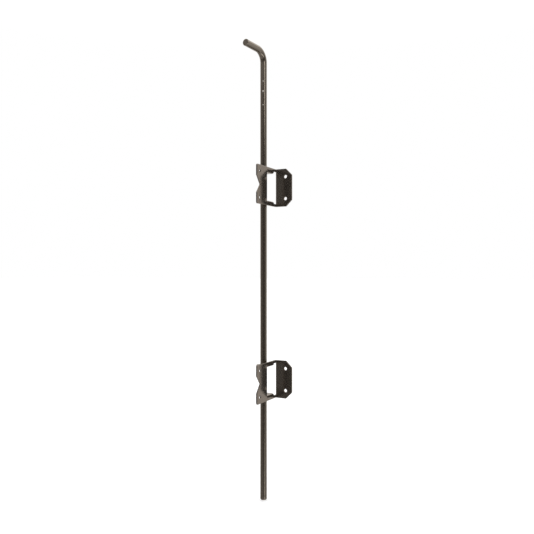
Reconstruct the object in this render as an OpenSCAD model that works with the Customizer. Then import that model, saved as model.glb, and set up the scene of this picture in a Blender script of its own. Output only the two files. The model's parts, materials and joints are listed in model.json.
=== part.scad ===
// Cane bolt for a gate or barn door.
// One round bar, bent over at the top as a handle, slides up and down
// through two identical folded sheet brackets screwed round the gate's corner.
// Units are millimetres. +Z is up, +X points from the bar into the gate's face,
// and +Y points along that face to the gate's edge, where the plate wraps round.
// The origin is the centre of the bar's bottom end face, with the bolt down.

/* [Part] */
// Which sub-part to show

/* [Rod] */
// Diameter of the round bar
rod_d = 12.7; // [12:0.1:13]
// Length of bar cut before bending, along its centre line
rod_cut_length = 915; // [850:0.1:1100]
// Radius of the bend, measured to the bar's centre line
bend_r = 21.5; // [18:0.5:26]
// Distance from the bar's axis to the end of the handle
handle_reach = 61; // [50:0.5:80]
// Angle the handle is turned out from the gate's face
handle_turn = 5.5; // [0:0.5:20]
// Chamfer at the bottom end of the bar
tip_chamfer = 2; // [0.5:0.1:4]
// Chamfer at the end of the handle
handle_chamfer = 1; // [0.5:0.1:3]

/* [Sheet] */
// Thickness of the bracket sheet
sheet_t = 2.7; // [2:0.1:3]
// Radius inside the fold between the leg and the plate
fold_r = 1.2; // [0.8:0.1:1.5]
// Radius inside the fold of each guide tab
tab_fold_r = 1.5; // [0.8:0.1:2]

/* [Bracket] */
// Height of the bracket
bracket_h = 73.2; // [70:0.1:80]
// Distance from the bar's axis to the leg's seat on the gate
leg_x = 15.4; // [15:0.1:18]
// Distance from the bar's axis to the plate's seat on the gate
plate_y = 22.2; // [21:0.1:26]
// Height of the middle of the lower bracket
lower_z = 230.2; // [150:0.1:300]
// Height of the middle of the upper bracket
upper_z = 602; // [500:0.1:640]

/* [Plate] */
// Width of the plate from the fold line to its free edge
plate_w = 34.1; // [33:0.1:45]
// Chamfer on the two free corners of the plate
plate_chamfer = 12.5; // [8:0.5:14]
// Distance from the fold line to the plate's screw holes
plate_hole_x = 20.4; // [18:0.1:23]
// Spacing between the plate's screw holes
plate_hole_pitch = 42.6; // [38:0.1:43]

/* [Leg] */
// Length of the leg from the fold line to its free end
leg_l = 75.5; // [72:0.5:90]
// Distance from the fold line to the leg's screw holes
leg_hole_y = 64; // [60:0.1:66]
// Spacing between the leg's screw holes
leg_hole_pitch = 49; // [46:0.1:52]
// Radius of the leg's outer corners
leg_corner_r = 3; // [1:0.5:4]
// Height of the V cut into the leg's free end
vee_h = 32; // [20:0.5:34]
// Depth of the V cut into the leg's free end
vee_d = 13; // [8:0.1:14]
// Diameter of every screw hole
screw_hole_d = 6.5; // [5:0.1:7.2]

/* [Window and guide tabs] */
// Length of the window along the leg, from the fold line
window_l = 36.7; // [36.5:0.1:40]
// Width of each guide tab
tab_w = 28; // [26:0.5:28]
// Height of the strip left above and below the slot beside the plate
slot_strip = 5.3; // [4.5:0.1:5.5]
// Distance from the bracket's edge to the outer face of the guide tab
tab_drop = 9.7; // [9.5:0.1:12]
// Diameter of the guide holes the bar runs through
guide_hole_d = 13.5; // [13.2:0.1:14]

/* [Hidden] */
$fn = 96;
rod_r = rod_d / 2;
handle_l = handle_reach - bend_r;
shaft_l = rod_cut_length - handle_l - bend_r * PI / 2;
half_h = bracket_h / 2;
leg_back_x = leg_x - sheet_t;
tab_fold_outer = tab_fold_r + sheet_t;
tab_face_z = half_h - tab_drop;
tab_fold_x = leg_back_x - tab_fold_r;
tab_fold_z = tab_face_z + tab_fold_outer;
slot_top_z = half_h - slot_strip;
window_cut_x = leg_x + 0.4;
far_side = 0.5;
steel = [0.13, 0.11, 0.10];

// The bar, bent once at the top
module cane_rod() {
    color(steel)
    rotate([0, 0, -90 - handle_turn]) {
        rod_shaft();
        rod_bend();
        rod_handle();
    }
}

// Straight part of the bar, chamfered at the bottom
module rod_shaft() {
    cylinder(h = tip_chamfer, r1 = rod_r - tip_chamfer * 0.7, r2 = rod_r);
    translate([0, 0, tip_chamfer])
    cylinder(h = shaft_l - tip_chamfer, r = rod_r);
}

// Quarter turn from the shaft to the handle
module rod_bend() {
    translate([bend_r, 0, shaft_l])
    rotate([90, 0, 0])
    rotate([0, 0, 90])
    rotate_extrude(angle = 90)
    translate([bend_r, 0])
    circle(r = rod_r);
}

// Straight handle, chamfered at its end
module rod_handle() {
    translate([bend_r, 0, shaft_l + bend_r])
    rotate([0, 90, 0]) {
        cylinder(h = handle_l - handle_chamfer, r = rod_r);
        translate([0, 0, handle_l - handle_chamfer])
        cylinder(h = handle_chamfer, r1 = rod_r, r2 = rod_r - handle_chamfer);
    }
}

// Upper bracket
module upper_bracket() {
    color(steel)
    translate([0, 0, upper_z])
    folded_bracket();
}

// Lower bracket, the same stamping
module lower_bracket() {
    color(steel)
    translate([0, 0, lower_z])
    folded_bracket();
}

// One-piece bracket: plate, leg and two guide tabs folded out of the leg's window
module folded_bracket() {
    difference() {
        union() {
            plate();
            leg();
            corner_fold();
        }
        window();
    }
    guide_tab();
    mirror([0, 0, 1])
    guide_tab();
}

// Plate that lies on the gate's edge, with two screw holes
module plate() {
    translate([0, plate_y + sheet_t, 0])
    rotate([90, 0, 0])
    linear_extrude(height = sheet_t)
    difference() {
        polygon([
            [leg_x + fold_r, -half_h],
            [leg_x + plate_w - plate_chamfer, -half_h],
            [leg_x + plate_w, -half_h + plate_chamfer],
            [leg_x + plate_w, half_h - plate_chamfer],
            [leg_x + plate_w - plate_chamfer, half_h],
            [leg_x + fold_r, half_h]
        ]);
        screw_holes(leg_x + plate_hole_x, plate_hole_pitch);
    }
}

// Leg that lies on the gate's face, with a V end and two screw holes
module leg() {
    translate([leg_back_x, 0, 0])
    rotate([90, 0, 90])
    linear_extrude(height = sheet_t)
    difference() {
        leg_outline();
        vee();
        screw_holes(plate_y - leg_hole_y, leg_hole_pitch);
    }
}

// Outline of the leg, with its two free corners rounded
module leg_outline() {
    translate([plate_y - leg_l + leg_corner_r, -half_h])
    square([leg_l - leg_corner_r - fold_r, bracket_h]);
    translate([plate_y - leg_l, -half_h + leg_corner_r])
    square([leg_corner_r * 2, bracket_h - leg_corner_r * 2]);
    for (side = [-1, 1])
        translate([plate_y - leg_l + leg_corner_r, side * (half_h - leg_corner_r)])
        circle(r = leg_corner_r);
}

// V cut into the free end of the leg
module vee() {
    translate([plate_y - leg_l, 0])
    polygon([
        [-far_side, -vee_h / 2 - far_side * vee_h / (2 * vee_d)],
        [vee_d, 0],
        [-far_side, vee_h / 2 + far_side * vee_h / (2 * vee_d)]
    ]);
}

// A pair of screw holes, one above the other
module screw_holes(along, pitch) {
    for (side = [-1, 1])
        translate([along, side * pitch / 2])
        circle(d = screw_hole_d);
}

// Quarter fold that joins the leg to the plate
module corner_fold() {
    translate([leg_x + fold_r, plate_y - fold_r, 0])
    rotate([0, 0, 90])
    rotate_extrude(angle = 90)
    translate([fold_r, -half_h])
    square([sheet_t, bracket_h]);
}

// Opening left in the leg where the guide tabs were cut and folded out
module window() {
    translate([leg_back_x - far_side, plate_y - window_l, -tab_fold_z])
    cube([sheet_t + far_side * 2, window_l - plate_y + tab_w / 2 + sheet_t, tab_fold_z * 2]);
    translate([leg_back_x - far_side, tab_w / 2, -slot_top_z])
    cube([window_cut_x - leg_back_x + far_side, plate_y - tab_w / 2 + sheet_t + far_side, slot_top_z * 2]);
}

// Guide tab: folded back from the leg, round ended, with a hole for the bar
module guide_tab() {
    translate([tab_fold_x, 0, tab_fold_z])
    rotate([90, 0, 0])
    rotate([0, 0, -90])
    rotate_extrude(angle = 90)
    translate([tab_fold_r, -tab_w / 2])
    square([sheet_t, tab_w]);
    translate([0, 0, tab_face_z])
    linear_extrude(height = sheet_t)
    difference() {
        union() {
            translate([0, -tab_w / 2])
            square([tab_fold_x, tab_w]);
            circle(d = tab_w);
        }
        circle(d = guide_hole_d);
    }
}

cane_rod();
upper_bracket();
lower_bracket();
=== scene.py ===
import json
import math

import bpy
import numpy as np
from mathutils import Matrix, Vector
from mathutils.geometry import delaunay_2d_cdt


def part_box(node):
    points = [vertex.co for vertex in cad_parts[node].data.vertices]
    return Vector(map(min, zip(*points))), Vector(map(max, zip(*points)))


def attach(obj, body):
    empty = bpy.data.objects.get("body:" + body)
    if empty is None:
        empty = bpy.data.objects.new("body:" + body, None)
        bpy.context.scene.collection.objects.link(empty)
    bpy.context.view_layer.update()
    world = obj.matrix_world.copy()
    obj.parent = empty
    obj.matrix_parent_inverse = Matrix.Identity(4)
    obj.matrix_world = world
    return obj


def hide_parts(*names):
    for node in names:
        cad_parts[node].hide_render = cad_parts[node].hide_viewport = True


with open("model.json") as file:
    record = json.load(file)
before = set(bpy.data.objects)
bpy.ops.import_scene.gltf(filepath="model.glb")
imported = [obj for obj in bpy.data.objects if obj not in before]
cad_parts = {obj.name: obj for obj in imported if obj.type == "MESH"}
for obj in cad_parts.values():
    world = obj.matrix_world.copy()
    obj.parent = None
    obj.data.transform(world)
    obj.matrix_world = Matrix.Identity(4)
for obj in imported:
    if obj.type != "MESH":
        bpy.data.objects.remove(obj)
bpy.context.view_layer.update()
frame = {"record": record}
MM = 0.001

# ---------------------------------------------------------------- sizes in mm, as in the CAD part
SHEET_T = 2.7
FOLD_R = 1.2
TAB_FOLD_R = 1.5
LEG_L = 75.5
PLATE_W = 34.1
PLATE_CHAMFER = 12.5
PLATE_HOLE_X = 20.4
LEG_HOLE_Y = 64.0
LEG_CORNER_R = 3.0
VEE_H = 32.0
VEE_D = 13.0
WINDOW_L = 36.7
TAB_W = 28.0
SLOT_STRIP = 5.3
TAB_DROP = 9.7
GUIDE_R = 6.75
BEND_R = 21.5
HANDLE_TURN = math.radians(5.5)
TIP_CHAMFER = 2.0
TIP_TAPER = 0.7  # the tip's chamfer goes this far in for each millimetre up
HANDLE_CHAMFER = 1.0

# these come from the frame: the boxes of the nodes, and the mounts
rod_lo, rod_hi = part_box("cane_rod")
bracket_lo, bracket_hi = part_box("upper_bracket")
mounts = {m["name"]: m for m in frame["record"]["mounts"]}
ROD_R = rod_hi.x / MM
ARM_Z = rod_hi.z / MM - ROD_R
SHAFT_L = ARM_Z - BEND_R
HALF_H = (bracket_hi.z - bracket_lo.z) / 2 / MM
LEG_X = mounts["upper_leg_seat"]["pos_m"][0] / MM
PLATE_Y = mounts["upper_plate_seat"]["pos_m"][1] / MM
HOLE_R = mounts["upper_leg_screws"]["dims"]["hole_r_mm"]
LEG_PITCH = mounts["upper_leg_screws"]["dims"]["spacing_y_mm"]
PLATE_PITCH = mounts["upper_plate_screws"]["dims"]["spacing_y_mm"]
# the lowest Y of the bar's box is the edge of the handle's end, turned out from the gate's face
HANDLE_SWING = math.sin(HANDLE_TURN) * (ROD_R - HANDLE_CHAMFER)
HANDLE_REACH = (-rod_lo.y / MM - HANDLE_SWING) / math.cos(HANDLE_TURN)

# the flat blank has u along the sheet, with the leg below 0 and the plate past the fold, and z up
NEUTRAL = 0.4  # share of the sheet's thickness at which a fold keeps its flat length
FOLD_LEN = math.pi / 2 * (FOLD_R + NEUTRAL * SHEET_T)
TAB_LEN = math.pi / 2 * (TAB_FOLD_R + NEUTRAL * SHEET_T)
TAB_FOLD_X = LEG_X - SHEET_T - TAB_FOLD_R
TAB_OUT = TAB_FOLD_R + SHEET_T
TAB_FOLD_Z = HALF_H - TAB_DROP + TAB_OUT
SLOT_Z = HALF_H - SLOT_STRIP
GUIDE_U = FOLD_R - PLATE_Y
GUIDE_Z = TAB_FOLD_Z - TAB_LEN - TAB_FOLD_X
TAB_LEFT = GUIDE_U - TAB_W / 2
TAB_RIGHT = GUIDE_U + TAB_W / 2
WINDOW_LEFT = FOLD_R - WINDOW_L

# ---------------------------------------------------------------- fine detail of the meshes, in mm
EDGE_FRONT = 0.35  # rounding of the sheet's edges on the seat side
EDGE_BACK = 0.25  # rounding of the sheet's edges on the other side
SUPPORT = 0.62  # how far in from its edge a flat face starts
WALL_ROW = 0.12  # how far past a rounding the first row on the edge's wall is
PLATE_CORNER_R = 1.2
VEE_CORNER_R = 0.9
SLOT_CORNER_R = 0.7
TAB_ROOT_R = 0.5
WINDOW_CORNER_R = 0.1
SLOT_END = 0.58  # share of the corner fold that the slot beside the plate cuts away
FOLD_ROWS = 8
HOLE_POINTS = 48
GUIDE_POINTS = 72
TAB_END_STEPS = 32
OUTER_STEP = 2.2
WINDOW_STEP = 2.0
ARC_STEP = math.radians(11)
NEARLY_STRAIGHT = math.pi / 2 - 0.02
SHORTEST = 0.02  # a crossing nearer than this to an outline point adds no point of its own
SMALLEST_AREA = 1e-4  # in square mm
SHARPEST_MITRE = 0.35
FLAT_GRID = 3.4
FLAT_CLEAR = 1.1  # how far grid points keep from every outline
FOLD_GRID = 0.6
FOLD_CLEAR = 0.28
TAB_GRID = 0.85
TAB_CLEAR = 0.3
ROD_SEGMENTS = 96
SHAFT_STEP = 7.0
HANDLE_STEP = 4.0
BEND_STEPS = 32
BEND_OVAL = 0.022  # how much the bar flattens half way round its bend


# ---------------------------------------------------------------- outlines of the flat blank
def rounded(corners):
    """A closed outline from (u, z, radius) corners, with each corner rounded."""
    out = []
    for i, (u, z, radius) in enumerate(corners):
        corner = np.array((u, z), float)
        to_last = np.array(corners[i - 1][:2], float) - corner
        to_next = np.array(corners[(i + 1) % len(corners)][:2], float) - corner
        last_l, next_l = np.linalg.norm(to_last), np.linalg.norm(to_next)
        to_last, to_next = to_last / last_l, to_next / next_l
        half = math.acos(max(-1, min(1, float(to_last @ to_next)))) / 2
        if radius <= 0 or half > NEARLY_STRAIGHT:
            out.append(corner)
            continue
        reach = min(radius / math.tan(half), last_l * 0.49, next_l * 0.49)
        middle = (to_last + to_next) / np.linalg.norm(to_last + to_next)
        centre = corner + middle * (reach * math.tan(half)) / math.sin(half)
        start = corner + to_last * reach - centre
        end = corner + to_next * reach - centre
        turn = math.atan2(start[0] * end[1] - start[1] * end[0], float(start @ end))
        steps = max(4, int(abs(turn) / ARC_STEP) + 1)
        for k in range(steps + 1):
            c, s = math.cos(turn * k / steps), math.sin(turn * k / steps)
            out.append(centre + np.array([start[0] * c - start[1] * s, start[0] * s + start[1] * c]))
    return np.array(out)


def circle(u, z, radius, count):
    """A hole's outline, clockwise, so that the material is on its left."""
    t = np.arange(count) * 2 * math.pi / count * -1
    return np.stack([u + radius * np.cos(t), z + radius * np.sin(t)], 1)


def split_on(points, axis, values, applies=lambda a, b: True):
    """Adds a point wherever the outline crosses a line u = value (axis 0) or z = value (axis 1)."""
    out = []
    for a, b in zip(points, np.roll(points, -1, 0)):
        out.append(a)
        run = b[axis] - a[axis]
        if abs(run) < 1e-9 or not applies(a, b):
            continue
        length = np.linalg.norm(b - a)
        for t in sorted((v - a[axis]) / run for v in values):
            if SHORTEST < t * length < length - SHORTEST:
                out.append(a + (b - a) * t)
    return np.array(out)


def subdivide(points, step):
    """Splits every edge of the outline into pieces no longer than step."""
    out = []
    for a, b in zip(points, np.roll(points, -1, 0)):
        pieces = max(1, int(math.ceil(np.linalg.norm(b - a) / step)))
        out += [a + (b - a) * j / pieces for j in range(pieces)]
    return np.array(out)


def inset(points, distance):
    """Moves an outline into the material on its left, with mitred corners."""
    into, onward = points - np.roll(points, 1, 0), np.roll(points, -1, 0) - points
    into /= np.linalg.norm(into, axis=1)[:, None]
    onward /= np.linalg.norm(onward, axis=1)[:, None]
    n1 = np.stack([-into[:, 1], into[:, 0]], 1)
    n2 = np.stack([-onward[:, 1], onward[:, 0]], 1)
    mitre = 1 + (n1 * n2).sum(1)
    return points + (n1 + n2) / np.maximum(mitre, SHARPEST_MITRE)[:, None] * distance


def outer_outline():
    """The leg's and the plate's outer edge, anticlockwise from the leg's lower corner."""
    left = FOLD_R - LEG_L
    right = FOLD_LEN + PLATE_W - FOLD_R
    return rounded([
        (left, -HALF_H, LEG_CORNER_R),
        (right - PLATE_CHAMFER, -HALF_H, PLATE_CORNER_R),
        (right, -HALF_H + PLATE_CHAMFER, PLATE_CORNER_R),
        (right, HALF_H - PLATE_CHAMFER, PLATE_CORNER_R),
        (right - PLATE_CHAMFER, HALF_H, PLATE_CORNER_R),
        (left, HALF_H, LEG_CORNER_R),
        (left, VEE_H / 2, VEE_CORNER_R),
        (left + VEE_D, 0, VEE_CORNER_R),
        (left, -VEE_H / 2, VEE_CORNER_R),
    ])


def window_outline():
    """The opening round both guide tabs, clockwise."""
    slot_end = FOLD_LEN * SLOT_END
    top = [(slot_end, SLOT_Z, SLOT_CORNER_R), (TAB_RIGHT, SLOT_Z, TAB_ROOT_R)]
    for k in range(TAB_END_STEPS + 1):
        a = -math.pi * k / TAB_END_STEPS
        top.append((GUIDE_U + TAB_W / 2 * math.cos(a), GUIDE_Z + TAB_W / 2 * math.sin(a), 0))
    top.append((TAB_LEFT, TAB_FOLD_Z, WINDOW_CORNER_R))
    top.append((WINDOW_LEFT, TAB_FOLD_Z, WINDOW_CORNER_R))
    bottom = [(u, -z, radius) for u, z, radius in top[::-1]]
    return rounded(top + bottom)[::-1]


def blank_outlines():
    """Every outline of the blank, with points where the fold lines cross it."""
    fold_lines = [FOLD_LEN * k / FOLD_ROWS for k in range(FOLD_ROWS + 1)]
    tab_rows = [TAB_FOLD_Z - TAB_LEN * k / FOLD_ROWS for k in range(FOLD_ROWS + 1)]
    tab_lines = [side * z for z in tab_rows for side in (-1, 1)]

    def beside_tab(a, b):
        return all(WINDOW_LEFT - 0.3 < p[0] < TAB_RIGHT + 0.3 for p in (a, b))

    outer = subdivide(split_on(outer_outline(), 0, fold_lines), OUTER_STEP)
    window = split_on(window_outline(), 0, fold_lines)
    window = subdivide(split_on(window, 1, tab_lines, beside_tab), WINDOW_STEP)
    holes = []
    for side in (-1, 1):
        holes.append(circle(FOLD_R - LEG_HOLE_Y, side * LEG_PITCH / 2, HOLE_R, HOLE_POINTS))
        holes.append(circle(FOLD_LEN + PLATE_HOLE_X - FOLD_R, side * PLATE_PITCH / 2, HOLE_R, HOLE_POINTS))
        holes.append(circle(GUIDE_U, side * GUIDE_Z, GUIDE_R, GUIDE_POINTS))
    return [outer, window] + holes


# ---------------------------------------------------------------- the bracket's mesh
def inside(points, loops):
    """Even-odd test of points against all the outlines together."""
    hit = np.zeros(len(points), bool)
    x, y = points[:, 0], points[:, 1]
    for loop in loops:
        for (x0, y0), (x1, y1) in zip(loop, np.roll(loop, -1, 0)):
            cross = (y0 > y) != (y1 > y)
            if y1 != y0:
                hit ^= cross & (x < (x1 - x0) * (y - y0) / (y1 - y0) + x0)
    return hit


def distance_to(points, loops):
    """Distance from each point to the nearest outline vertex or edge middle."""
    samples = np.vstack([np.vstack([loop, (loop + np.roll(loop, -1, 0)) / 2]) for loop in loops])
    best = np.full(len(points), np.inf)
    batch = 400
    for i in range(0, len(samples), batch):
        gaps = np.linalg.norm(points[:, None, :] - samples[None, i:i + batch, :], axis=2)
        best = np.minimum(best, gaps.min(1))
    return best


def inner_points(loops):
    """Points inside the sheet: a coarse grid on the flats, and fine rows across each fold."""
    grid = []
    for u in np.arange(FOLD_R - LEG_L, FOLD_LEN + PLATE_W, FLAT_GRID):
        for z in np.arange(-HALF_H + 1.6, HALF_H, FLAT_GRID):
            past_tab_fold = TAB_FOLD_Z - abs(z)
            in_fold = -0.6 < u < FOLD_LEN + 0.6
            in_tab_fold = -0.5 < past_tab_fold < TAB_LEN + 0.5 and TAB_LEFT < u < TAB_RIGHT
            if not in_fold and not in_tab_fold:
                grid.append((u, z, FLAT_CLEAR))
    for k in range(FOLD_ROWS + 1):
        for z in np.arange(-HALF_H, HALF_H, FOLD_GRID):
            grid.append((FOLD_LEN * k / FOLD_ROWS, z + 0.05, FOLD_CLEAR))
        for u in np.arange(TAB_LEFT, TAB_RIGHT, TAB_GRID):
            for side in (-1, 1):
                grid.append((u, side * (TAB_FOLD_Z - TAB_LEN * k / FOLD_ROWS), TAB_CLEAR))
    grid = np.array(grid)
    places, clearance = grid[:, :2], grid[:, 2]
    return places[inside(places, loops) & (distance_to(places, loops) > clearance)]


def triangles(points, edges, loops):
    """The triangles that fill the sheet between its outlines, as point numbers."""
    found, _, tris, origins = delaunay_2d_cdt([Vector(p) for p in points], edges, [], 0, 1e-7, True)[:4]
    if any(len(o) != 1 for o in origins):
        raise RuntimeError("the blank's outline meets itself")
    corners = np.array([[found[i][:2] for i in t] for t in tris])
    side_a, side_b = corners[:, 1] - corners[:, 0], corners[:, 2] - corners[:, 0]
    area = np.abs(side_a[:, 0] * side_b[:, 1] - side_a[:, 1] * side_b[:, 0]) / 2
    # a triangle with no area lies along a straight edge and is left out
    keep = inside(corners.mean(1), loops) & (area > SMALLEST_AREA)
    return [[origins[i][0] for i in t] for t, kept in zip(tris, keep) if kept]


def edge_profile():
    """Rows of (inset, depth, wear) from the seat face, round the sheet's edge, to the back face."""
    turns = [math.radians(30 * k) for k in (1, 2, 3)]
    rows = [(SUPPORT, 0, 0.0), (EDGE_FRONT, 0, 0.15)]
    for a, wear in zip(turns, (1.0, 1.0, 0.8)):
        rows.append((EDGE_FRONT * (1 - math.sin(a)), EDGE_FRONT * (1 - math.cos(a)), wear))
    for depth in (EDGE_FRONT + WALL_ROW, SHEET_T / 2, SHEET_T - EDGE_BACK - WALL_ROW):
        rows.append((0, depth, 0.0))
    for a in turns[::-1]:
        rows.append((EDGE_BACK * (1 - math.sin(a)), SHEET_T - EDGE_BACK * (1 - math.cos(a)), 1.0))
    return rows + [(EDGE_BACK, SHEET_T, 0.15), (SUPPORT, SHEET_T, 0.0)]


def fold(u, z, depth):
    """Where points of the flat blank lie once folded; depth is measured from the seat face."""
    # the leg
    x = LEG_X - depth
    y = PLATE_Y - (FOLD_R - u)
    # the corner fold and the plate
    bent = u > 0
    turn = np.clip(u / FOLD_LEN, 0, 1) * math.pi / 2
    radius = FOLD_R + depth
    beyond = np.maximum(u - FOLD_LEN, 0)
    x = np.where(bent, LEG_X + FOLD_R - radius * np.cos(turn) + beyond, x)
    y = np.where(bent, PLATE_Y - FOLD_R + radius * np.sin(turn), y)
    # the guide tabs
    past_tab_fold = TAB_FOLD_Z - np.abs(z)
    tab = (past_tab_fold > 0) & (u > TAB_LEFT - 0.25) & (u < TAB_RIGHT + 0.25)
    turn = np.clip(past_tab_fold / TAB_LEN, 0, 1) * math.pi / 2
    radius = TAB_OUT - depth
    beyond = np.maximum(past_tab_fold - TAB_LEN, 0)
    x = np.where(tab, TAB_FOLD_X + radius * np.cos(turn) - beyond, x)
    height = np.where(tab, np.sign(z) * (TAB_FOLD_Z - radius * np.sin(turn)), z)
    return np.stack([x, y, height], 1)


def smooth_mesh(name, points, faces, wear):
    """A smooth-shaded mesh that holds each point's wear for its coating."""
    mesh = bpy.data.meshes.new(name)
    mesh.from_pydata([tuple(p) for p in points], [], faces)
    mesh.validate()
    mesh.attributes.new("wear", "FLOAT", "POINT").data.foreach_set("value", wear)
    mesh.polygons.foreach_set("use_smooth", [True] * len(mesh.polygons))
    mesh.update()
    return mesh


def bracket_mesh(name):
    """The folded sheet: a rounded wall along every outline, and a front and a back face between them."""
    verts, wear, faces = [], [], []
    front_ids, back_ids = [], []
    face_loops, face_points, face_edges = [], [], []
    for loop in blank_outlines():
        n = len(loop)
        rings = []
        for distance, depth, ring_wear in edge_profile():
            rings.append(len(verts))
            verts += [(u, z, depth) for u, z in inset(loop, distance)]
            wear += [ring_wear] * n
        for a, b in zip(rings[:-1], rings[1:]):
            faces += [(a + i, b + i, b + (i + 1) % n, a + (i + 1) % n) for i in range(n)]
        front_ids += range(rings[0], rings[0] + n)
        back_ids += range(rings[-1], rings[-1] + n)
        base = len(face_points)
        face_loops.append(inset(loop, SUPPORT))
        face_points += [tuple(p) for p in face_loops[-1]]
        face_edges += [(base + i, base + (i + 1) % n) for i in range(n)]
    for u, z in inner_points(face_loops):
        face_points.append((u, z))
        for depth, ids in ((0.0, front_ids), (SHEET_T, back_ids)):
            ids.append(len(verts))
            verts.append((u, z, depth))
            wear.append(0.0)
    for a, b, c in triangles(face_points, face_edges, face_loops):
        faces.append((front_ids[a], front_ids[b], front_ids[c]))
        faces.append((back_ids[c], back_ids[b], back_ids[a]))
    u, z, depth = np.array(verts, float).T
    return smooth_mesh(name, fold(u, z, depth) * MM, faces, wear)


# ---------------------------------------------------------------- the bar's mesh
def rod_stations(total):
    """(distance along the bar, radius, wear) of every ring, with the chamfers' edges rounded."""
    # the rings inside tip_r and end_r lie in the flat end faces
    tip_r = ROD_R - TIP_CHAMFER * TIP_TAPER
    end_r = ROD_R - HANDLE_CHAMFER
    tip = [
        (0, 1.6, 0), (0, 3.2, 0), (0, tip_r - 0.35, 0.1), (0, tip_r - 0.1, 0.7), (0.03, tip_r - 0.02, 1),
        (0.11, tip_r + 0.06, 1), (0.3, tip_r + 0.2, 0.5), (TIP_CHAMFER - 0.3, ROD_R - 0.21, 0.5),
        (TIP_CHAMFER - 0.1, ROD_R - 0.08, 1), (TIP_CHAMFER + 0.08, ROD_R - 0.015, 1),
        (TIP_CHAMFER + 0.35, ROD_R, 0.2)]
    # these distances are back from the handle's end
    end = [
        (1.35, ROD_R, 0.2), (1.08, ROD_R - 0.02, 1), (0.9, ROD_R - 0.11, 1), (0.75, ROD_R - 0.25, 0.6),
        (0.25, end_r + 0.25, 0.6), (0.1, end_r + 0.11, 1), (0.02, end_r - 0.02, 1), (0, end_r - 0.15, 0.5),
        (0, end_r - 0.6, 0.1), (0, 3.2, 0), (0, 1.6, 0)]
    arc = BEND_R * math.pi / 2
    plain = list(np.arange(6.0, SHAFT_L - 4, SHAFT_STEP))
    plain += [SHAFT_L + arc * k / BEND_STEPS for k in range(BEND_STEPS + 1)]
    plain += list(np.arange(SHAFT_L + arc + 4, total - 3, HANDLE_STEP))
    return tip + [(t, ROD_R, 0) for t in plain] + [(total - t, radius, wear) for t, radius, wear in end]


def rod_mesh(name):
    """The bar: rings swept up the shaft, round the bend and along the handle, closed at both ends."""
    arc = BEND_R * math.pi / 2
    total = SHAFT_L + arc + HANDLE_REACH - BEND_R
    up = Vector((0, 0, 1))
    outward = Vector((-math.sin(HANDLE_TURN), -math.cos(HANDLE_TURN), 0))
    sideways = Vector((-outward.y, outward.x, 0))

    def place(t):
        """The centre line's point, its normal and the flattening, at a distance along the bar."""
        if t <= SHAFT_L:
            return up * t, outward.copy(), 0.0
        if t <= SHAFT_L + arc:
            a = (t - SHAFT_L) / BEND_R
            point = outward * (BEND_R * (1 - math.cos(a))) + up * (SHAFT_L + BEND_R * math.sin(a))
            return point, outward * math.cos(a) - up * math.sin(a), math.sin(2 * a)
        return outward * (BEND_R + t - SHAFT_L - arc) + up * ARM_Z, -up, 0.0

    stations = rod_stations(total)
    verts, wear, faces = [], [], []
    for t, radius, ring_wear in stations:
        point, normal, flattened = place(t)
        for k in range(ROD_SEGMENTS):
            a = 2 * math.pi * k / ROD_SEGMENTS
            across = math.cos(a) * radius * (1 - BEND_OVAL * flattened)
            verts.append(point + normal * across + sideways * (math.sin(a) * radius))
            wear.append(ring_wear)
    nexts = [(k, (k + 1) % ROD_SEGMENTS) for k in range(ROD_SEGMENTS)]
    last = (len(stations) - 1) * ROD_SEGMENTS
    for row in range(0, last, ROD_SEGMENTS):
        above = row + ROD_SEGMENTS
        faces += [(row + k, row + j, above + j, above + k) for k, j in nexts]
    faces += [(len(verts), j, k) for k, j in nexts]
    faces += [(last + k, last + j, len(verts) + 1) for k, j in nexts]
    verts += [place(0)[0], place(total)[0]]
    wear += [0, 0]
    return smooth_mesh(name, [v * MM for v in verts], faces, wear)


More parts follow.
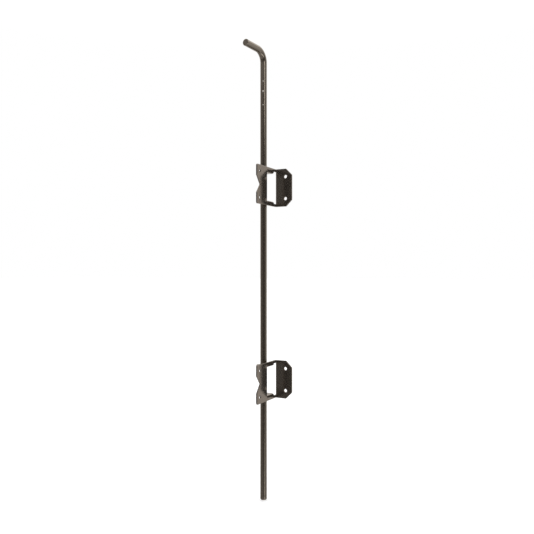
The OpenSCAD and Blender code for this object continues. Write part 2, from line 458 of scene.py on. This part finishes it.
# ---------------------------------------------------------------- shader nodes
class Nodes:
    """Makes and links the nodes of one shader tree."""

    def __init__(self, owner):
        owner.use_nodes = True
        self.tree = owner.node_tree
        self.tree.nodes.clear()

    def put(self, socket, value):
        if isinstance(value, bpy.types.NodeSocket):
            self.tree.links.new(value, socket)
        else:
            socket.default_value = value

    def add(self, kind, inputs=None, **props):
        node = self.tree.nodes.new(kind)
        for key, value in props.items():
            setattr(node, key, value)
        for key, value in (inputs or {}).items():
            self.put(node.inputs[key], value)
        return node

    def math(self, operation, a, b=0.0, c=0.0, clamp=False):
        node = self.add("ShaderNodeMath", {0: a, 1: b, 2: c}, operation=operation, use_clamp=clamp)
        return node.outputs[0]

    def times(self, a, b):
        return self.math("MULTIPLY", a, b)

    def lighter(self, a, b):
        return self.math("MAXIMUM", a, b)

    def one_minus(self, a):
        return self.math("SUBTRACT", 1.0, a)

    def scaled(self, a, gain, offset, **options):
        """a times gain, plus offset."""
        return self.math("MULTIPLY_ADD", a, gain, offset, **options)

    def varied(self, noise, gain, base, **options):
        """base, moved up and down by the noise."""
        return self.scaled(self.math("SUBTRACT", noise, 0.5), gain, base, **options)

    def dot(self, a, b):
        return self.add("ShaderNodeVectorMath", {0: a, 1: b}, operation="DOT_PRODUCT").outputs["Value"]

    def ramp(self, value, low, high):
        """A smooth step from 0 at low to 1 at high; low may be the greater of the two."""
        node = self.add("ShaderNodeMapRange", {0: value, 1: low, 2: high}, interpolation_type="SMOOTHSTEP")
        return node.outputs[0]

    def bell(self, value, middle, width):
        """A smooth bump of height 1 round middle."""
        off = self.math("DIVIDE", self.math("SUBTRACT", value, middle), width)
        return self.math("EXPONENT", self.times(self.times(off, off), -1.0))

    def noise(self, place, scale, detail=2.0, roughness=0.5):
        inputs = {"Vector": place, "Scale": scale, "Detail": detail, "Roughness": roughness}
        return self.add("ShaderNodeTexNoise", inputs).outputs[0]

    def mix(self, factor, a, b):
        return self.add("ShaderNodeMix", {0: factor, 6: a, 7: b}, data_type="RGBA").outputs[2]

    def finish(self, kind, *shaders):
        """Links one shader, or the sum of two, to the tree's output."""
        result = shaders[0].outputs[0]
        if len(shaders) == 2:
            both = self.add("ShaderNodeAddShader", {0: result, 1: shaders[1].outputs[0]})
            result = both.outputs[0]
        self.put(self.add(kind).inputs["Surface"], result)


# ---------------------------------------------------------------- coating
RUBBED_METAL = (0.29, 0.26, 0.22, 1)
DUST_TINT = (0.16, 0.14, 0.12, 1)
# the nicks' colour: bare steel, painted paler as a glint
BARE_AND_GLINT_TINT = (0.33, 0.31, 0.28, 1)
BARE_SHINE = (0.62, 0.57, 0.50, 1)
EDGE_ON_SHINE = (0.74, 0.72, 0.69, 1)
BUMP_DEPTH = 0.00003


def nick_and_glint_mask(n, place, nicks):
    """1 inside the small nicks, where a glint is painted, each a ((x, y, z), size) in metres, with ragged
    edges.
    """
    mask = None
    for centre, size in nicks:
        off = n.add("ShaderNodeVectorMath", {0: place, 1: centre}, operation="SUBTRACT").outputs[0]
        off = n.add("ShaderNodeVectorMath", {0: off, 1: (1.0, 1.0, 0.75)}, operation="MULTIPLY").outputs[0]
        away = n.add("ShaderNodeVectorMath", {0: off}, operation="LENGTH").outputs["Value"]
        ragged = n.scaled(n.noise(place, 1600.0), size * 1.1, away)
        spot = n.ramp(ragged, size * 1.7, size * 1.35)
        mask = spot if mask is None else n.lighter(mask, spot)
    return mask


def coating(name, dark, light, shine, roughness, lines, nicks=()):
    """Dark bronze coating on steel: drifting tone, orange peel, dust, rubbed edges and a few nicks with a
    painted glint.

    Noise scales are per metre. lines holds those of the steel's draw or rolling lines along x, y and z.
    """
    material = bpy.data.materials.new(name)
    n = Nodes(material)
    place = n.add("ShaderNodeTexCoord").outputs["Object"]
    wear = n.add("ShaderNodeAttribute", attribute_name="wear").outputs["Fac"]
    # slow drift of the coating's tone, and finer mottling
    mottle = n.noise(place, 160.0, 4.0, 0.6)
    grain = n.noise(place, 1400.0)
    tone = n.varied(n.noise(place, 22.0), 1.2, 0.5)
    tone = n.varied(mottle, 0.3, tone, clamp=True)
    colour = n.mix(tone, dark, light)
    # thin coating rubbed to metal on the edges, broken up by noise
    chips = n.noise(place, 420.0, 3.0, 0.65)
    edge = n.ramp(n.times(wear, n.math("ADD", chips, 0.28)), 0.5, 0.85)
    rubbed = n.times(edge, 0.45)
    colour = n.mix(rubbed, colour, RUBBED_METAL)
    # dust specks
    dust = n.ramp(n.noise(place, 900.0, 1.0), 0.71, 0.78)
    colour = n.mix(n.times(dust, 0.3), colour, DUST_TINT)
    rough = n.varied(mottle, 0.06, roughness)
    rough = n.scaled(grain, 0.04, rough)
    rough = n.scaled(dust, 0.2, rough)
    # orange peel, fine grain, and the steel's own lines under the coating
    stretched = n.add("ShaderNodeMapping", {"Vector": place, "Scale": lines}).outputs[0]
    height = n.scaled(n.noise(stretched, 1.0), 0.5, n.noise(place, 520.0, 2.0, 0.45))
    height = n.scaled(grain, 0.3, height)
    height = n.scaled(edge, -0.6, height)
    # the shine is bronze-tinted and, being satin, never turns mirror-white edge-on
    face_shine = n.mix(rubbed, shine, RUBBED_METAL)
    if nicks:
        bare_and_glint = nick_and_glint_mask(n, place, nicks)
        height = n.scaled(bare_and_glint, -3.0, height)
        face_shine = n.mix(bare_and_glint, face_shine, BARE_SHINE)
        # painted glint: the nicks' diffuse colour is pale, lighter than bare steel's own
        colour = n.mix(bare_and_glint, colour, BARE_AND_GLINT_TINT)
    bump = n.add("ShaderNodeBump", {"Strength": 0.18, "Distance": BUMP_DEPTH, "Height": height}).outputs[0]
    facing = n.add("ShaderNodeLayerWeight", {"Blend": 0.5, "Normal": bump}).outputs["Facing"]
    tint = n.mix(n.math("POWER", facing, 5.0), face_shine, EDGE_ON_SHINE)
    glossy = n.add("ShaderNodeBsdfAnisotropic", {"Color": tint, "Roughness": rough, "Normal": bump})
    glossy.distribution = "BECKMANN"
    diffuse = n.add("ShaderNodeBsdfDiffuse", {"Color": colour, "Roughness": 0.4, "Normal": bump})
    n.finish("ShaderNodeOutputMaterial", glossy, diffuse)
    return material


# ---------------------------------------------------------------- directions, seen from the camera
VIEW_ANGLE = math.radians(27.9)
AHEAD = Vector((-math.sin(VIEW_ANGLE), math.cos(VIEW_ANGLE), 0))
RIGHTWARD = Vector((math.cos(VIEW_ANGLE), math.sin(VIEW_ANGLE), 0))

# ---------------------------------------------------------------- pieces
# nicks in the bar's coating, where glints are painted, on its side towards the camera
NICK_ANGLE = VIEW_ANGLE - math.radians(8)
NICKS = ((58.4, 0.9), (77.4, 1.4), (103.8, 0.9))  # mm below the handle's centre line, and size in mm


def bar_material():
    """The bar's coating, with draw lines along it and nicks below the bend, each with a painted glint."""
    side = Vector((math.sin(NICK_ANGLE), -math.cos(NICK_ANGLE), 0)) * (ROD_R * MM)
    nicks = [((side.x, side.y, (ARM_Z - drop) * MM), size * MM) for drop, size in NICKS]
    return coating("dark_bronze_bar", dark=(0.0145, 0.0103, 0.0077, 1), light=(0.0245, 0.0181, 0.0136, 1),
                   shine=(0.21, 0.183, 0.15, 1), roughness=0.19, lines=(900.0, 900.0, 12.0), nicks=nicks)


def sheet_material():
    """The brackets' coating, a little paler and glossier than the bar's."""
    return coating("dark_bronze_sheet", dark=(0.0243, 0.0212, 0.0183, 1), light=(0.037, 0.0328, 0.0286, 1),
                   shine=(0.172, 0.142, 0.115, 1), roughness=0.145, lines=(90.0, 90.0, 700.0))


def add_object(name, data):
    """Puts a new object into the scene."""
    thing = bpy.data.objects.new(name, data)
    bpy.context.scene.collection.objects.link(thing)
    return thing


def add_piece(name, mesh, material, body, node):
    """A visible piece that rides on a body and stands for a CAD node."""
    mesh.materials.append(material)
    piece = add_object(name, mesh)
    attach(piece, body)
    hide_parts(node)


def add_bracket(name, material, node):
    """A bracket's sheet, at its node's height."""
    low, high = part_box(node)
    mesh = bracket_mesh(name)
    mesh.transform(Matrix.Translation((0, 0, (low.z + high.z) / 2)))
    add_piece(name, mesh, material, "brackets", node)


# ---------------------------------------------------------------- camera, floor and light
CAMERA_DISTANCE = 1.17338
CAMERA_SHIFT = 0.006593
CAMERA_HEIGHT = 0.44
SENSOR_MM = 36.0
LENS_MM = 40.98674
LENS_RISE = 0.0079476
FLOOR_HALF = 30
KEY_ANGLE = math.radians(34)


def add_camera():
    """The camera, looking level at the part from in front of the plates."""
    data = bpy.data.cameras.new("camera")
    data.sensor_width = SENSOR_MM
    data.lens = LENS_MM
    data.shift_y = LENS_RISE
    data.clip_start = 0.01
    camera = add_object("camera", data)
    camera.location = AHEAD * -CAMERA_DISTANCE + RIGHTWARD * CAMERA_SHIFT + Vector((0, 0, CAMERA_HEIGHT))
    camera.rotation_euler = AHEAD.to_track_quat("-Z", "Y").to_euler()
    bpy.context.scene.camera = camera


def add_floor():
    """A pale floor, lit a little from within so that it runs into the white behind it."""
    corners = [(x * FLOOR_HALF, y * FLOOR_HALF, 0) for x, y in ((-1, -1), (1, -1), (1, 1), (-1, 1))]
    mesh = bpy.data.meshes.new("floor")
    mesh.from_pydata(corners, [], [(0, 1, 2, 3)])
    material = bpy.data.materials.new("floor")
    n = Nodes(material)
    diffuse = n.add("ShaderNodeBsdfDiffuse", {"Color": (0.86, 0.86, 0.86, 1)})
    glow = n.add("ShaderNodeEmission", {"Color": (1, 1, 1, 1), "Strength": 0.42})
    n.finish("ShaderNodeOutputMaterial", diffuse, glow)
    mesh.materials.append(material)
    floor = add_object("floor", mesh)
    floor.visible_glossy = False


def add_studio():
    """The light round the part by direction: what the dark coating reflects.

    Directions are unit vectors, so up, ahead and right run from -1 to 1, and a level of 1 is white.
    """
    world = bpy.data.worlds.new("studio")
    bpy.context.scene.world = world
    n = Nodes(world)
    direction = n.add("ShaderNodeTexCoord").outputs["Generated"]
    up = n.add("ShaderNodeSeparateXYZ", {0: direction}).outputs[2]
    ahead = n.dot(direction, tuple(AHEAD))
    right = n.dot(direction, tuple(RIGHTWARD))
    azimuth = n.math("ARCTAN2", right, n.times(ahead, -1.0))  # 0 is towards the camera
    behind = n.ramp(ahead, 0.1, 0.7)
    in_front = n.ramp(ahead, 0.25, -0.35)
    # a white sweep behind the part, dimmer low down, and a dim room on the camera's side
    sweep = n.ramp(n.scaled(right, 0.15, ahead), -0.7, 0.85)
    sweep = n.times(sweep, n.one_minus(n.times(n.times(behind, n.ramp(up, -0.2, -0.38)), 0.65)))
    level = n.scaled(sweep, 0.94, 0.06)
    # soft light above, less of it on the camera's side, and a pale table below
    level = n.lighter(level, n.times(n.times(n.ramp(up, 0.22, 0.45), 0.9), n.one_minus(in_front)))
    level = n.lighter(level, n.times(n.times(n.ramp(up, 0.21, 0.37), 0.42), in_front))
    level = n.lighter(level, n.times(n.times(n.ramp(up, -0.29, -0.42), 0.36), n.one_minus(behind)))
    # a tall narrow soft box right of the camera, dim where it is level with the part, and a wide dim one left
    reach = n.lighter(n.times(n.ramp(up, 0.19, 0.35), 0.8), n.times(n.ramp(up, -0.25, -0.40), 2.8))
    box = n.bell(azimuth, math.radians(40), math.radians(7.5))
    level = n.scaled(box, n.math("ADD", reach, 0.15), level)
    level = n.scaled(n.bell(azimuth, math.radians(-38), math.radians(28)), 0.125, level)
    # a roof light behind and above the part, seen in the handle
    roof = n.times(n.ramp(up, 0.34, 0.5), n.ramp(ahead, 0.0, 0.5))
    level = n.scaled(roof, 0.7, level)
    # the camera itself sees plain white
    level = n.lighter(level, n.add("ShaderNodeLightPath").outputs["Is Camera Ray"])
    background = n.add("ShaderNodeBackground", {"Color": (1, 1, 1, 1), "Strength": level})
    n.finish("ShaderNodeOutputWorld", background)


def add_key_light():
    """One large soft lamp above and right of the camera."""
    data = bpy.data.lights.new("key", "AREA")
    data.shape = "RECTANGLE"
    data.size = 0.35
    data.size_y = 0.9
    data.energy = 2.5
    aim = Vector((0, 0, 0.45))
    away = AHEAD * -math.cos(KEY_ANGLE) + RIGHTWARD * math.sin(KEY_ANGLE)
    key = add_object("key", data)
    key.location = aim + away * 1.9 + Vector((0, 0, 1.15))
    key.rotation_euler = (aim - key.location).to_track_quat("-Z", "Y").to_euler()


# ---------------------------------------------------------------- the scene
add_piece("bent_bar", rod_mesh("bent_bar"), bar_material(), "bar", "cane_rod")
sheet_coating = sheet_material()
add_bracket("upper_bracket_sheet", sheet_coating, "upper_bracket")
add_bracket("lower_bracket_sheet", sheet_coating, "lower_bracket")
add_camera()
add_floor()
add_studio()
add_key_light()
bpy.context.scene.view_settings.view_transform = "Standard"
